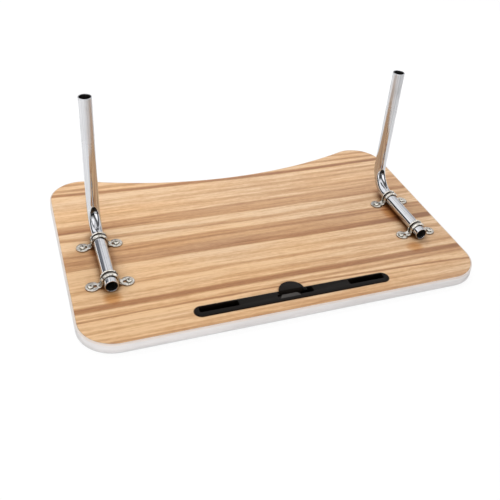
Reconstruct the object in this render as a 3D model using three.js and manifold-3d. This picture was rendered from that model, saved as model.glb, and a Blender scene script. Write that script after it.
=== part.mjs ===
// Wheelchair tray table, in millimetres with +Z up.
// The tray lies on its work face with its two leg tubes standing up, as it is laid out for fitting.
// The origin is the middle of the board's outline, on the surface that the board lies on.
// +X runs along the board's width, and +Y runs from its straight front edge to the hollow side.

import * as THREE from 'three';
import { mergeVertices } from 'three/addons/utils/BufferGeometryUtils.js';
import Module from 'manifold-3d';

const wasm = await Module();
wasm.setup();

// Board
const BOARD_WIDTH = 600;
const BOARD_DEPTH = 390;
const BOARD_THICKNESS = 15;
const LAMINATE_THICKNESS = 0.75;
const FRONT_CORNER_RADIUS = 52;
const BACK_CORNER_RADIUS = 50;
const HOLLOW_DEPTH = 43;
const BAND_THICKNESS = 2;
const BAND_ROUNDING = 1.5;
const BAND_TRIM = 0.25;
const GLUE_GAP = 0.2;

// Leg tubes
const TUBE_DIAMETER = 19;
const TUBE_WALL = 1.2;
const TUBE_FROM_SIDE = 56.25;
const TUBE_FROM_FRONT = 100;
const TUBE_STRAIGHT = 115.75;
const BEND_RADIUS = 38;
const LEG_HEIGHT = 219;
const TUBE_CLEARANCE = 0.3;

// Crush mark on the inside of each bend
const CRUSH_HALF_WIDTH = 6.4;
const CRUSH_DEPTH = 2;
const CRUSH_START_ANGLE = 4;
const CRUSH_END_ANGLE = 74;

// Pipe saddles
const STRAP_THICKNESS = 1.5;
const STRAP_WIDTH = 11;
const LIP_HEIGHT = 1.5;
const LIP_WIDTH = 1.5;
const FOOT_RADIUS = 6.5;
const EAR_LENGTH = 22.2;
const EAR_RADIUS = 9.5;
const EAR_SLOT_LENGTH = 11;
const EAR_SLOT_WIDTH = 5;
const EAR_SLOT_FROM_END = 5;
const FRONT_SADDLE_FROM_END = 16;
const REAR_SADDLE_FROM_BEND = 10;

// Wood screws
const SCREW_DIAMETER = 4;
const SCREW_LENGTH = 11;
const SCREW_POINT = 2.5;
const SCREW_HEAD_DIAMETER = 8.6;
const SCREW_HEAD_HEIGHT = 2.8;
const CROSS_LENGTH = 4.6;
const CROSS_WIDTH = 1;
const CROSS_DEPTH = 1.4;
const SCREW_CLEARANCE = 0.3;
const REAR_SCREW_INSET = 2;

// Slot insert
const SLOT_LENGTH = 294;
const SLOT_WIDTH = 19.5;
const SLOT_FROM_FRONT = 30.5;
const SLOT_DEPTH = 10;
const SLOT_FLANGE_THICKNESS = 1;
const SLOT_FLANGE_OVERHANG = 0.75;
const SLOT_FLOOR = 1.5;
const SLOT_BACK_WALL = 1.25;
const SLOT_BOARD_GAP = 0.3;
const GROOVE_WIDTH = 10.25;
const POCKET_LENGTH = 56;
const POCKET_END_WALL = 7;
const POCKET_CORNER_RADIUS = 2;

// Flap and the lugs that carry it
const FLAP_RADIUS = 19;
const FLAP_THICKNESS = 1.75;
const FLAP_OFFSET = -3.7;
const FLAP_HEEL = 0.5;
const FLAP_NECK = 1.25;
const FLAP_BOARD_GAP = 0.3;
const FLAP_END_GAP = 0.5;
const BARREL_RADIUS = 2;
const BARREL_DROP = 0.9;
const PIN_RADIUS = 0.75;
const PIN_CLEARANCE = 0.3;
const PIN_GRIP = 2.5;
const LEFT_LUG_WIDTH = 4.05;
const RIGHT_LUG_WIDTH = 3;

// Rest pad in front of the flap
const PAD_OFFSET = -9;
const PAD_FRONT_LENGTH = 31.5;
const PAD_BACK_LENGTH = 23;
const PAD_THICKNESS = 1;
const PAD_BELOW_RIM = 0.5;
const PAD_GAP = 0.3;
const PAD_LEDGE_BITE = 2;
const PAD_FLAP_GAP = 0.4;

// Facets
const CORNER_STEPS = 10;
const LOBE_STEPS = 3;
const HOLLOW_STEPS = 28;
const ROUND_STEPS = 24;
const BEND_STEPS = 18;
const ARCH_STEPS = 20;
const FOOT_STEPS = 5;
const SMALL_ROUND_STEPS = 16;
const BAND_STEPS = 3;

// Places that follow from the sizes
const sides = { left: -1, right: 1 };
const frontEdge = -BOARD_DEPTH / 2;
const tubeRadius = TUBE_DIAMETER / 2;
const tubeX = BOARD_WIDTH / 2 - TUBE_FROM_SIDE;
const tubeAxisZ = BOARD_THICKNESS + tubeRadius + TUBE_CLEARANCE;
const tubeEndY = frontEdge + TUBE_FROM_FRONT;
const bendStartY = tubeEndY + TUBE_STRAIGHT;
const bendTopZ = tubeAxisZ + BEND_RADIUS;
const legTopZ = BOARD_THICKNESS + LEG_HEIGHT;
const saddleYs = {
  front: tubeEndY + FRONT_SADDLE_FROM_END,
  rear: bendStartY - REAR_SADDLE_FROM_BEND,
};
const strapInner = tubeRadius + TUBE_CLEARANCE;
const earReach = strapInner + STRAP_THICKNESS + EAR_LENGTH;
const earSlotEnd = earReach - EAR_SLOT_FROM_END;
const screwReach = earSlotEnd - SCREW_DIAMETER / 2 - SCREW_CLEARANCE;
const screwReaches = { front: screwReach, rear: screwReach - REAR_SCREW_INSET };
const slotY = frontEdge + SLOT_FROM_FRONT;
const slotTopZ = BOARD_THICKNESS + SLOT_FLANGE_THICKNESS;
const slotBottomZ = BOARD_THICKNESS - SLOT_DEPTH;
const slotBodyWidth = SLOT_WIDTH - 2 * SLOT_FLANGE_OVERHANG;
const slotBodyLength = SLOT_LENGTH - 2 * SLOT_FLANGE_OVERHANG;
const grooveBackY = slotY + slotBodyWidth / 2 - SLOT_BACK_WALL;
const grooveFrontY = grooveBackY - GROOVE_WIDTH;
const flapAxisY = grooveBackY - BARREL_RADIUS - PIN_CLEARANCE;
const flapAxisZ = BOARD_THICKNESS + FLAP_BOARD_GAP - BARREL_DROP;
const leftLugX = FLAP_OFFSET - FLAP_RADIUS - FLAP_END_GAP;
const rightLugX = FLAP_OFFSET + FLAP_RADIUS + FLAP_END_GAP;
const recessHalf = LEFT_LUG_WIDTH - leftLugX;
const padTopZ = slotTopZ - PAD_BELOW_RIM;
const padFrontY = grooveFrontY - PAD_LEDGE_BITE;
const padBackY = flapAxisY - BARREL_DROP - FLAP_THICKNESS - PAD_FLAP_GAP;

// Materials
function finish(color, roughness, metalness) {
  return new THREE.MeshStandardMaterial({ color, roughness, metalness });
}

// A closed mesh as a solid, and a solid as a geometry
function toSolid(geometry) {
  const bare = geometry.clone();
  bare.deleteAttribute('normal');
  bare.deleteAttribute('uv');
  const merged = mergeVertices(bare, 1e-5);
  return new wasm.Manifold(new wasm.Mesh({
    numProp: 3,
    vertProperties: new Float32Array(merged.attributes.position.array),
    triVerts: new Uint32Array(merged.index.array),
  }));
}

function toGeometry(solid) {
  const mesh = solid.getMesh();
  const geometry = new THREE.BufferGeometry();
  geometry.setAttribute('position', new THREE.BufferAttribute(new Float32Array(mesh.vertProperties), 3));
  geometry.setIndex(new THREE.BufferAttribute(new Uint32Array(mesh.triVerts), 1));
  geometry.computeVertexNormals();
  return geometry;
}

// Outlines in the XY plane, as lists of points
function arcPoints(cx, cy, radius, startDegrees, endDegrees, steps) {
  const points = [];
  for (let i = 0; i <= steps; i += 1) {
    const angle = THREE.MathUtils.degToRad(startDegrees + (endDegrees - startDegrees) * i / steps);
    points.push(new THREE.Vector2(cx + radius * Math.cos(angle), cy + radius * Math.sin(angle)));
  }
  return points;
}

// The board's outline, drawn in by inset all round: four round corners, and one hollow arc that
// runs tangent into the two back corners
function boardOutline(inset) {
  const backX = BOARD_WIDTH / 2 - BACK_CORNER_RADIUS;
  const backY = BOARD_DEPTH / 2 - BACK_CORNER_RADIUS;
  const frontX = BOARD_WIDTH / 2 - FRONT_CORNER_RADIUS;
  const frontY = frontEdge + FRONT_CORNER_RADIUS;
  const hollowRadius = (backX ** 2 + HOLLOW_DEPTH ** 2) / (2 * HOLLOW_DEPTH) - BACK_CORNER_RADIUS;
  const hollowY = BOARD_DEPTH / 2 - HOLLOW_DEPTH + hollowRadius;
  const tangent = THREE.MathUtils.radToDeg(Math.atan2(hollowY - backY, -backX));
  const front = FRONT_CORNER_RADIUS - inset;
  const back = BACK_CORNER_RADIUS - inset;
  return [
    ...arcPoints(-frontX, frontY, front, 180, 270, CORNER_STEPS),
    ...arcPoints(frontX, frontY, front, 270, 360, CORNER_STEPS),
    ...arcPoints(backX, backY, back, 0, 90, CORNER_STEPS),
    ...arcPoints(backX, backY, back, 90, tangent, LOBE_STEPS).slice(1),
    ...arcPoints(0, hollowY, hollowRadius + inset, tangent - 180, -tangent, HOLLOW_STEPS).slice(1, -1),
    ...arcPoints(-backX, backY, back, 180 - tangent, 90, LOBE_STEPS).slice(0, -1),
    ...arcPoints(-backX, backY, back, 90, 180, CORNER_STEPS),
  ];
}

function stadium(cx, cy, length, width) {
  const radius = width / 2;
  const reach = length / 2 - radius;
  return [
    ...arcPoints(cx + reach, cy, radius, -90, 90, SMALL_ROUND_STEPS),
    ...arcPoints(cx - reach, cy, radius, 90, 270, SMALL_ROUND_STEPS),
  ];
}

function circle(cx, cy, radius, steps) {
  return arcPoints(cx, cy, radius, 0, 360, steps).slice(0, -1);
}

function roundedRectangle(left, right, front, back, radius) {
  const steps = 3;
  return [
    ...arcPoints(left + radius, front + radius, radius, 180, 270, steps),
    ...arcPoints(right - radius, front + radius, radius, 270, 360, steps),
    ...arcPoints(right - radius, back - radius, radius, 0, 90, steps),
    ...arcPoints(left + radius, back - radius, radius, 90, 180, steps),
  ];
}

// A prism of an outline from bottom to top, with any holes through it
function prism(outline, bottom, top, holes = []) {
  const shape = new THREE.Shape(outline);
  for (const hole of holes) shape.holes.push(new THREE.Path([...hole].reverse()));
  const geometry = new THREE.ExtrudeGeometry(shape, { depth: top - bottom, bevelEnabled: false });
  return geometry.translate(0, 0, bottom);
}

function box(left, right, front, back, bottom, top) {
  const geometry = new THREE.BoxGeometry(right - left, back - front, top - bottom);
  return geometry.translate((left + right) / 2, (front + back) / 2, (bottom + top) / 2);
}

// A round bar along X
function barX(left, right, y, z, radius) {
  const geometry = new THREE.CylinderGeometry(radius, radius, right - left, SMALL_ROUND_STEPS);
  return geometry.rotateZ(Math.PI / 2).translate((left + right) / 2, y, z);
}

// A front screw stands at the outer end of a saddle ear's slot, and a rear one further in
function screwPlaces() {
  const places = [];
  for (const [side, sign] of Object.entries(sides)) {
    for (const [row, y] of Object.entries(saddleYs)) {
      for (const [edge, out] of Object.entries({ outer: sign, inner: -sign })) {
        places.push({ name: `screw_${row}_${side}_${edge}`, x: sign * tubeX + out * screwReaches[row], y });
      }
    }
  }
  return places;
}

// Board: a core with its work face pressed on, a laminate on the face that carries the tubes, and
// a band round the edge
const coreInset = BAND_THICKNESS + GLUE_GAP;
const coreTopZ = BOARD_THICKNESS - LAMINATE_THICKNESS;
const screwBore = SCREW_DIAMETER / 2 + SCREW_CLEARANCE;

function slotOpening() {
  return stadium(0, slotY, slotBodyLength + 2 * SLOT_BOARD_GAP, slotBodyWidth + 2 * SLOT_BOARD_GAP);
}

function faceLaminate() {
  const bores = screwPlaces().map(({ x, y }) => circle(x, y, screwBore, SMALL_ROUND_STEPS));
  return prism(boardOutline(coreInset), coreTopZ, BOARD_THICKNESS, [slotOpening(), ...bores]);
}

function boardCore() {
  const above = coreTopZ + 1;
  const screwTipZ = BOARD_THICKNESS + STRAP_THICKNESS - SCREW_LENGTH;
  let core = toSolid(prism(boardOutline(coreInset), 0, coreTopZ));
  core = core.subtract(toSolid(prism(slotOpening(), slotBottomZ - SLOT_BOARD_GAP, above)));
  for (const { x, y } of screwPlaces()) {
    const bore = circle(x, y, screwBore, SMALL_ROUND_STEPS);
    core = core.subtract(toSolid(prism(bore, screwTipZ - SCREW_CLEARANCE, above)));
  }
  return toGeometry(core);
}

// The band's outer edges are rounded, above and below
function edgeBand() {
  const outer = new THREE.ExtrudeGeometry(new THREE.Shape(boardOutline(0)), {
    depth: BOARD_THICKNESS - BAND_TRIM - 2 * BAND_ROUNDING,
    bevelThickness: BAND_ROUNDING,
    bevelSize: BAND_ROUNDING,
    bevelOffset: -BAND_ROUNDING,
    bevelSegments: BAND_STEPS,
  });
  outer.translate(0, 0, BAND_TRIM + BAND_ROUNDING);
  const inner = prism(boardOutline(BAND_THICKNESS), 0, BOARD_THICKNESS + 1);
  return toGeometry(toSolid(outer).subtract(toSolid(inner)));
}

// Slot insert: a flanged stadium with its groove nearer the back. The groove is left as a pocket
// at each end and a recess in the middle, where the flap is hinged, and is flush between them.
function padOutline(gap) {
  return [
    new THREE.Vector2(PAD_OFFSET - PAD_FRONT_LENGTH / 2 - gap, padFrontY - gap),
    new THREE.Vector2(PAD_OFFSET + PAD_FRONT_LENGTH / 2 + gap, padFrontY - gap),
    new THREE.Vector2(PAD_OFFSET + PAD_BACK_LENGTH / 2 + gap, padBackY + gap),
    new THREE.Vector2(PAD_OFFSET - PAD_BACK_LENGTH / 2 - gap, padBackY + gap),
  ];
}

function slotInsert() {
  const over = 1;
  const above = slotTopZ + over;
  const buried = slotBottomZ + SLOT_FLOOR / 2;
  const pocketOuter = SLOT_LENGTH / 2 - POCKET_END_WALL;
  const pocketInner = pocketOuter - POCKET_LENGTH;
  const flange = prism(stadium(0, slotY, SLOT_LENGTH, SLOT_WIDTH), BOARD_THICKNESS, slotTopZ);
  const body = prism(stadium(0, slotY, slotBodyLength, slotBodyWidth), slotBottomZ, BOARD_THICKNESS);
  let insert = toSolid(flange).add(toSolid(body));
  const hollows = [[-pocketOuter, -pocketInner], [-recessHalf, recessHalf], [pocketInner, pocketOuter]];
  for (const [left, right] of hollows) {
    const outline = roundedRectangle(left, right, grooveFrontY, grooveBackY, POCKET_CORNER_RADIUS);
    insert = insert.subtract(toSolid(prism(outline, slotBottomZ + SLOT_FLOOR, above)));
  }
  // The rest pad's seat, sunk into the front ledge
  const seatLeft = PAD_OFFSET - PAD_FRONT_LENGTH / 2;
  const seatRight = PAD_OFFSET + PAD_FRONT_LENGTH / 2;
  const seatZ = padTopZ - PAD_THICKNESS;
  insert = insert.add(toSolid(box(seatLeft, seatRight, grooveFrontY - over, padBackY, buried, seatZ)));
  insert = insert.subtract(toSolid(prism(padOutline(PAD_GAP), seatZ, above)));
  // The two lugs
  const lugs = [[-recessHalf - over, leftLugX], [rightLugX, rightLugX + RIGHT_LUG_WIDTH]];
  for (const [left, right] of lugs) {
    const back = grooveBackY + SLOT_BACK_WALL / 2;
    insert = insert.add(toSolid(box(left, right, flapAxisY - BARREL_RADIUS, back, buried, slotTopZ)));
  }
  // The flange is left off behind the flap, so that the flap can lie down on the board
  const passage = box(leftLugX, rightLugX, grooveBackY - over, slotY + SLOT_WIDTH, BOARD_THICKNESS, above);
  insert = insert.subtract(toSolid(passage));
  const boreLeft = leftLugX - PIN_GRIP - PIN_CLEARANCE;
  const boreRight = rightLugX + RIGHT_LUG_WIDTH + over;
  const bore = barX(boreLeft, boreRight, flapAxisY, flapAxisZ, PIN_RADIUS + PIN_CLEARANCE);
  return toGeometry(insert.subtract(toSolid(bore)));
}

function restPad() {
  return prism(padOutline(0), 0, PAD_THICKNESS);
}

// The flap is drawn about its hinge axis: a half disc over a barrel
function flap() {
  const outline = [
    new THREE.Vector2(-FLAP_RADIUS, -FLAP_HEEL),
    new THREE.Vector2(FLAP_RADIUS, -FLAP_HEEL),
    ...arcPoints(0, FLAP_NECK, FLAP_RADIUS, 0, 180, ROUND_STEPS),
  ];
  const plate = toSolid(prism(outline, BARREL_DROP, BARREL_DROP + FLAP_THICKNESS));
  const barrel = toSolid(barX(-FLAP_RADIUS, FLAP_RADIUS, 0, 0, BARREL_RADIUS));
  const reach = FLAP_RADIUS + FLAP_END_GAP;
  const bore = toSolid(barX(-reach, reach, 0, 0, PIN_RADIUS + PIN_CLEARANCE));
  return toGeometry(plate.add(barrel).subtract(bore));
}

function flapPin() {
  return barX(leftLugX - PIN_GRIP, rightLugX + PIN_GRIP, 0, 0, PIN_RADIUS);
}

// Leg tube: a straight part along Y, a bend, and a leg that stands up, drawn about the tube axis
// where the bend starts. One step is the straight part, one is the leg, and the bend has the rest.
function bendAngle(step, steps) {
  return THREE.MathUtils.clamp((step - 1) / steps, 0, 1) * Math.PI / 2;
}

// A path whose stations are its own steps, not equal lengths
class SteppedPath extends THREE.Curve {
  getPointAt(u, target) {
    return this.getPoint(u, target);
  }

  getTangentAt(u, target) {
    return this.getTangent(u, target);
  }
}

class TubePath extends SteppedPath {
  getPoint(u, target = new THREE.Vector3()) {
    const step = u * (BEND_STEPS + 2);
    const angle = bendAngle(step, BEND_STEPS);
    const along = Math.min(step - 1, 0) * TUBE_STRAIGHT;
    const up = Math.max(step - 1 - BEND_STEPS, 0) * (legTopZ - bendTopZ);
    return target.set(0, along + BEND_RADIUS * Math.sin(angle), BEND_RADIUS * (1 - Math.cos(angle)) + up);
  }

  getTangent(u, target = new THREE.Vector3()) {
    const angle = bendAngle(u * (BEND_STEPS + 2), BEND_STEPS);
    return target.set(0, Math.cos(angle), Math.sin(angle));
  }
}

// How far the outer wall is pressed in, at an angle round the bend and a distance to one side
function crush(angle, side) {
  const middle = (CRUSH_START_ANGLE + CRUSH_END_ANGLE) / 2;
  const half = (CRUSH_END_ANGLE - CRUSH_START_ANGLE) / 2;
  const along = 1 - ((angle - middle) / half) ** 2;
  if (along <= 0) return 0;
  const halfWidth = CRUSH_HALF_WIDTH * Math.sqrt(along);
  if (Math.abs(side) >= halfWidth) return 0;
  const crown = Math.sqrt(tubeRadius ** 2 - side ** 2) - Math.sqrt(tubeRadius ** 2 - halfWidth ** 2);
  return crown + CRUSH_DEPTH * along * (1 - (side / halfWidth) ** 2);
}

function legTube() {
  const ring = new THREE.Shape(circle(0, 0, tubeRadius, ROUND_STEPS));
  ring.holes.push(new THREE.Path(circle(0, 0, tubeRadius - TUBE_WALL, ROUND_STEPS).reverse()));
  const geometry = new THREE.ExtrudeGeometry(ring, { steps: BEND_STEPS + 2, extrudePath: new TubePath() });
  const place = geometry.attributes.position;
  for (let i = 0; i < place.count; i += 1) {
    const x = place.getX(i);
    const y = place.getY(i);
    const z = place.getZ(i) - BEND_RADIUS;
    const angle = THREE.MathUtils.radToDeg(Math.atan2(y, -z));
    const reach = Math.hypot(y, z);
    if (reach >= BEND_RADIUS || angle <= 0 || angle >= 90) continue;
    const pressed = crush(angle, x * tubeRadius / Math.hypot(BEND_RADIUS - reach, x));
    place.setY(i, y * (reach + pressed) / reach);
    place.setZ(i, z * (reach + pressed) / reach + BEND_RADIUS);
  }
  return geometry;
}

// Pipe saddle: a strap over the tube with a raised lip along both edges, and a slotted ear on each
// side, drawn about the tube axis. The strap flares out to its ears in a round foot. One step is
// each upright, and the feet and the arch have the rest.
const strapMiddle = strapInner + STRAP_THICKNESS / 2;
const footZ = BOARD_THICKNESS - tubeAxisZ;
const footEndX = strapMiddle + FOOT_RADIUS;
const strapSteps = ARCH_STEPS + 2 * FOOT_STEPS + 2;

class StrapPath extends SteppedPath {
  // The place and the tangent angle at a step from the left end, up to the crown
  leftHalf(step) {
    const middleZ = footZ + STRAP_THICKNESS / 2;
    if (step <= FOOT_STEPS) {
      const angle = step / FOOT_STEPS * Math.PI / 2;
      const x = -footEndX + FOOT_RADIUS * Math.sin(angle);
      return { x, z: middleZ + FOOT_RADIUS * (1 - Math.cos(angle)), angle };
    }
    const past = step - FOOT_STEPS;
    if (past < 1) {
      return { x: -strapMiddle, z: (middleZ + FOOT_RADIUS) * (1 - past), angle: Math.PI / 2 };
    }
    const turn = (past - 1) / ARCH_STEPS * Math.PI;
    return { x: -strapMiddle * Math.cos(turn), z: strapMiddle * Math.sin(turn), angle: Math.PI / 2 - turn };
  }

  getPoint(u, target = new THREE.Vector3()) {
    const step = u * strapSteps;
    const { x, z } = this.leftHalf(Math.min(step, strapSteps - step));
    return target.set(step * 2 > strapSteps ? -x : x, 0, z);
  }

  getTangent(u, target = new THREE.Vector3()) {
    const step = u * strapSteps;
    const { angle } = this.leftHalf(Math.min(step, strapSteps - step));
    return target.set(Math.cos(angle), 0, step * 2 > strapSteps ? -Math.sin(angle) : Math.sin(angle));
  }

  // The section's first axis faces away from the tube all the way over
  computeFrenetFrames(steps) {
    const frames = { tangents: [], normals: [], binormals: [] };
    for (let i = 0; i <= steps; i += 1) {
      const tangent = this.getTangent(i / steps);
      const binormal = new THREE.Vector3(0, -1, 0);
      frames.tangents.push(tangent);
      frames.binormals.push(binormal);
      frames.normals.push(binormal.clone().cross(tangent));
    }
    return frames;
  }
}

// The strap's section: each point's place away from the tube, then along it
function strapSection() {
  const half = STRAP_THICKNESS / 2;
  const edge = STRAP_WIDTH / 2;
  const inner = edge - LIP_WIDTH;
  const oneSide = [
    [-half, inner],
    [LIP_HEIGHT - half, edge],
    [LIP_HEIGHT + half, edge],
    [LIP_HEIGHT + half, inner],
    [half, inner - LIP_HEIGHT / 2],
  ];
  const otherSide = oneSide.map(([out, along]) => [out, -along]).reverse();
  return [...oneSide, ...otherSide].map(([out, along]) => new THREE.Vector2(out, along));
}

function saddle() {
  const strap = new THREE.ExtrudeGeometry(new THREE.Shape(strapSection()), {
    steps: strapSteps,
    extrudePath: new StrapPath(),
  });
  const roundX = earReach - EAR_RADIUS;
  const rootX = footEndX - STRAP_THICKNESS / 3;
  const slope = Math.asin((EAR_RADIUS - STRAP_WIDTH / 2) / (roundX - rootX));
  const tangent = 90 + THREE.MathUtils.radToDeg(slope);
  const outline = [
    new THREE.Vector2(rootX, -STRAP_WIDTH / 2),
    ...arcPoints(roundX, 0, EAR_RADIUS, -tangent, tangent, ROUND_STEPS),
    new THREE.Vector2(rootX, STRAP_WIDTH / 2),
  ];
  const slot = stadium(earSlotEnd - EAR_SLOT_LENGTH / 2, 0, EAR_SLOT_LENGTH, EAR_SLOT_WIDTH);
  const ear = prism(outline, footZ, footZ + STRAP_THICKNESS, [slot]);
  const otherEar = ear.clone().rotateZ(Math.PI);
  return toGeometry(toSolid(strap).add(toSolid(ear)).add(toSolid(otherEar)));
}

// Pan-head wood screw with a cross recess, drawn from the underside of its head
function screw() {
  const shank = SCREW_DIAMETER / 2;
  const head = SCREW_HEAD_DIAMETER / 2;
  const profile = [
    [0, -SCREW_LENGTH],
    [shank, SCREW_POINT - SCREW_LENGTH],
    [shank, 0],
    [head, 0],
    [head, SCREW_HEAD_HEIGHT * 0.35],
    [head * 0.86, SCREW_HEAD_HEIGHT * 0.7],
    [head * 0.58, SCREW_HEAD_HEIGHT * 0.93],
    [0, SCREW_HEAD_HEIGHT],
  ].map(([radius, z]) => new THREE.Vector2(radius, z));
  let solid = toSolid(new THREE.LatheGeometry(profile, SMALL_ROUND_STEPS).rotateX(Math.PI / 2));
  const bottom = SCREW_HEAD_HEIGHT - CROSS_DEPTH;
  const top = SCREW_HEAD_HEIGHT + 1;
  const long = CROSS_LENGTH / 2;
  const wide = CROSS_WIDTH / 2;
  solid = solid.subtract(toSolid(box(-long, long, -wide, wide, bottom, top)));
  solid = solid.subtract(toSolid(box(-wide, wide, -long, long, bottom, top)));
  return toGeometry(solid);
}

// Assembly
const tray = new THREE.Group();

function addPart(name, geometry, material, x = 0, y = 0, z = 0) {
  const mesh = new THREE.Mesh(geometry, material);
  mesh.name = name;
  mesh.position.set(x, y, z);
  tray.add(mesh);
  return mesh;
}

addPart('board_core', boardCore(), finish(0xc39a6c, 0.7, 0));
addPart('face_laminate', faceLaminate(), finish(0xd6ab7c, 0.45, 0));
addPart('edge_band', edgeBand(), finish(0xdedde0, 0.5, 0));

addPart('slot_insert', slotInsert(), finish(0x17130f, 0.35, 0));
addPart('slot_rest_pad', restPad(), finish(0x57524f, 0.6, 0), 0, 0, padTopZ - PAD_THICKNESS);
addPart('slot_flap', flap(), finish(0x1c1814, 0.4, 0), FLAP_OFFSET, flapAxisY, flapAxisZ);
addPart('flap_pin', flapPin(), finish(0xb9b7b0, 0.3, 1), 0, flapAxisY, flapAxisZ);

for (const [side, sign] of Object.entries(sides)) {
  const x = sign * tubeX;
  addPart(`leg_tube_${side}`, legTube(), finish(0xd8d9dc, 0.12, 1), x, bendStartY, tubeAxisZ);
  for (const [row, y] of Object.entries(saddleYs)) {
    addPart(`saddle_${row}_${side}`, saddle(), finish(0xc4c3c0, 0.25, 1), x, y, tubeAxisZ);
  }
}

// Each screw's cross is left turned as it was driven home
const screwTurns = [12, 50, 28, 74, 5, 61, 39, 83];
screwPlaces().forEach(({ name, x, y }, i) => {
  const part = addPart(name, screw(), finish(0xb0aea8, 0.3, 1), x, y, BOARD_THICKNESS + STRAP_THICKNESS);
  part.rotation.z = THREE.MathUtils.degToRad(screwTurns[i]);
});

export default tray;
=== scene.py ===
# Looks of the wheelchair tray table, which lies on its work face with its leg tubes standing up.
# Named sizes are in millimetres and named angles in degrees. Meshes are written in metres, in the
# frame of the CAD model.
import math

import bmesh
import bpy
from mathutils import Matrix, Vector


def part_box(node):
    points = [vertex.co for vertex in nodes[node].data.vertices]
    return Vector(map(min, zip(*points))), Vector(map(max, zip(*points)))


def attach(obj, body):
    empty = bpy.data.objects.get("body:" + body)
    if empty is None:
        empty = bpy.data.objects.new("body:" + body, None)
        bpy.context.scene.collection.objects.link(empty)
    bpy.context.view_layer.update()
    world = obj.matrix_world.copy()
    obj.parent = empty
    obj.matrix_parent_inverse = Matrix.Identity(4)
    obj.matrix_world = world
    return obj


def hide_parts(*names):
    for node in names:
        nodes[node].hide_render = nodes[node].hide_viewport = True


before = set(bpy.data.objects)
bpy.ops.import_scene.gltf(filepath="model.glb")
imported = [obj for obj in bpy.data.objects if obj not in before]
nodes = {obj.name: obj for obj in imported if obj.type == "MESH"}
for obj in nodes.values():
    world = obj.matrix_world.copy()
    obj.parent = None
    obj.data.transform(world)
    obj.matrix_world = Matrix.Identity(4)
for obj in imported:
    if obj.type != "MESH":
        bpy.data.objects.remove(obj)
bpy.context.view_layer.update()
MM = 0.001
SIDES = {"left": -1, "right": 1}
WHITE = (1.0, 1.0, 1.0)
BLACK = (0.0, 0.0, 0.0)


def box_of(node):
    """A CAD node's lowest and highest corners, in millimetres."""
    return [[round(v / MM, 3) for v in corner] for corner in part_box(node)]


def middle_of(node):
    return [(low + high) / 2 for low, high in zip(*box_of(node))]


# Board
board_low, board_high = box_of("edge_band")
HALF_WIDTH, HALF_DEPTH, BOARD_TOP = board_high
FRONT_CORNER = 52.0
BACK_CORNER = 50.0
HOLLOW_DEPTH = 43.0
BAND_BOTTOM = board_low[2]
BAND_THICKNESS = 2.0
BAND_ROUNDING = 1.5
BAND_LINE_HEIGHT = 3.6
BAND_LINE_HALF = 0.35
BAND_LINE_DEPTH = 0.16

# Leg tubes
tube_low, tube_high = box_of("leg_tube_right")
TUBE_RADIUS = (tube_high[0] - tube_low[0]) / 2
TUBE_WALL = 1.2
TUBE_X = tube_low[0] + TUBE_RADIUS
TUBE_Z = tube_low[2] + TUBE_RADIUS
TUBE_END_Y = tube_low[1]
LEG_Y = tube_high[1] - TUBE_RADIUS
LEG_TOP = tube_high[2]
BEND_RADIUS = 38.0
TUBE_STEPS = 144
LYING_STEPS = 13
BEND_STEPS = 120
LEG_STEPS = 14

# Crush mark on the inside of each tube's bend
# It runs between two angles round the bend. In between, its size rises from 0 to 1 and falls again,
# and MARK_SCALE makes the highest size 1. There its floor is MARK_SINK below the chord across the
# tube whose squared half width is MARK_SPREAD. KEEL_SLOPE is the squared slope of its sides.
MARK_TOP = 82.0
MARK_BOTTOM = 4.0
MARK_SCALE = 3.18
MARK_POWER = 0.7
MARK_SPREAD = 41.0
MARK_SINK = 2.0
KEEL_SLOPE = 0.28
KEEL_ROUNDING = 0.5
MARK_RIM = 0.6
# The fold of painted shade down the mark is in the middle at FOLD_MIDDLE degrees round the bend, and
# drifts to one side by FOLD_DRIFT millimetres for each degree, by up to FOLD_LIMIT.
FOLD_MIDDLE = 52.0
FOLD_DRIFT = 0.155
FOLD_LIMIT = 2.3

# Pipe saddles
# Each ridge along a strap has its middle and its half width across the strap. The groove between
# them has its two sides, and is painted dark as shade.
SADDLE_Y = {row: middle_of(f"saddle_{row}_right")[1] for row in ("front", "rear")}
STRAP_INNER = 9.8
STRAP_THICKNESS = 1.5
STRAP_WIDTH = 11.0
RIDGE_HEIGHT = 1.5
RIDGES = ((-2.7, 3.2), (4.7, 1.7))
GROOVE = (0.4, 3.6)
FOOT_BEND = 7.25
EAR_REACH = 33.5
EAR_RADIUS = 9.5
EAR_SLOT = (17.5, 28.5)
EAR_SLOT_WIDTH = 5.0
ARCH_CUTS = 16
UPRIGHT_CUTS = 3
FOOT_CUTS = 10
CUT_STEP = 0.5

# Wood screws
# The point has radii and heights, where height 0 is the underside of the head. The recess has the
# half length, half width and height of its floor and of its mouth. DOME_SWEEP is in radians.
SCREW_REACH = {row: middle_of(f"screw_{row}_right_outer")[0] - TUBE_X for row in SADDLE_Y}
SCREW_TURNS = (12, 50, 28, 74, 5, 61, 39, 83)
SCREW_STEPS = 40
SHANK_LENGTH = 11.0
SHANK_RADIUS = 2.0
SCREW_POINT = ((0.5, -10.2), (1.7, -8.4), (SHANK_RADIUS, -7.6))
HEAD_RADIUS = 4.3
HEAD_RIM = 0.75
HEAD_HEIGHT = 2.8
HEAD_CHAMFER = 0.15
DOME_POWER = 0.7
DOME_SWEEP = 1.4
DOME_STEPS = 7
RECESS = ((1.1, 0.42, 1.3), (2.5, 0.62, 3.2))

# Slot insert
slot_low, slot_high = box_of("slot_insert")
SLOT_Y = middle_of("slot_insert")[1]
SLOT_HALF_LENGTH = slot_high[0]
SLOT_RADIUS = (slot_high[1] - slot_low[1]) / 2
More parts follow.
